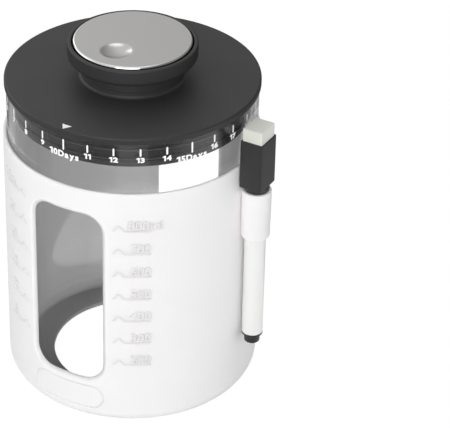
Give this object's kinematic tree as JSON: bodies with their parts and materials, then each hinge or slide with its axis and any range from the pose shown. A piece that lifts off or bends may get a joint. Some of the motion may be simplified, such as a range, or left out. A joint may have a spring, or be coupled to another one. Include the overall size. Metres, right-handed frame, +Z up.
{
  "type": "sourdough starter jar",
  "caption": "Glass starter jar in a silicone sleeve with two windows and a pen loop, a turning plug lid with a vent dial in its knob, and a capped marker pen.",
  "frame": {"origin": "on the table under the sleeve's base ring, on the jar's axis", "axes": "+Z up along the jar's axis, the sleeve's windows towards -Y and +Y, the pen at +X"},
  "size_m": [0.1264, 0.1142, 0.1658],
  "materials": {
    "white_silicone": "matt moulded silicone",
    "clear_glass": "clear, polished",
    "black_lid_plastic": "fine moulded grain",
    "black_silicone": "matt",
    "screw_steel": "zinc plated",
    "satin_steel": "satin with a polished edge",
    "white_pen_plastic": "smooth moulded",
    "black_pen_plastic": "satin moulded",
    "white_felt": "pressed felt",
    "inked_felt": "ink-soaked fibre"
  },
  "bodies": {
    "sleeve": {"silicone_sleeve": "white_silicone"},
    "jar": {"glass_jar": "clear_glass"},
    "gasket": {"lid_gasket": "black_silicone"},
    "lid": {"lid_plate": "black_lid_plastic", "lid_liner": "black_lid_plastic", "knob_body": "black_lid_plastic", "knob_screws": "screw_steel", "vent_seal": "black_silicone"},
    "dial": {"vent_dial": "satin_steel", "dial_carrier": "black_lid_plastic", "dial_washer": "screw_steel", "dial_screw": "screw_steel"},
    "pen": {"pen_barrel": "white_pen_plastic", "pen_tail_plug": "black_pen_plastic", "pen_nib_holder": "white_pen_plastic", "pen_nib": "inked_felt", "pen_ink_core": "inked_felt"},
    "cap": {"pen_cap": "black_pen_plastic", "pen_eraser": "white_felt"}
  },
  "joints": [
    {"name": "jar_lift", "type": "slide", "parent": "sleeve", "child": "jar", "axis": [0, 0, 1], "range_m": [0, 0.13]},
    {"name": "lid_lift", "type": "slide", "parent": "jar", "child": "gasket", "axis": [0, 0, 1], "range_m": [0, 0.06]},
    {"name": "lid_turn", "type": "hinge", "parent": "gasket", "child": "lid", "pos_m": [0, 0, 0.1455], "axis": [0, 0, 1], "continuous": true},
    {"name": "vent_turn", "type": "hinge", "parent": "lid", "child": "dial", "pos_m": [0, 0, 0.1607], "axis": [0, 0, 1], "range_deg": [0, 90]},
    {"name": "pen_lift", "type": "slide", "parent": "sleeve", "child": "pen", "axis": [0, 0, 1], "range_m": [0, 0.09]},
    {"name": "cap_pull", "type": "slide", "parent": "pen", "child": "cap", "axis": [0, 0, 1], "range_m": [0, 0.022]}
  ]
}
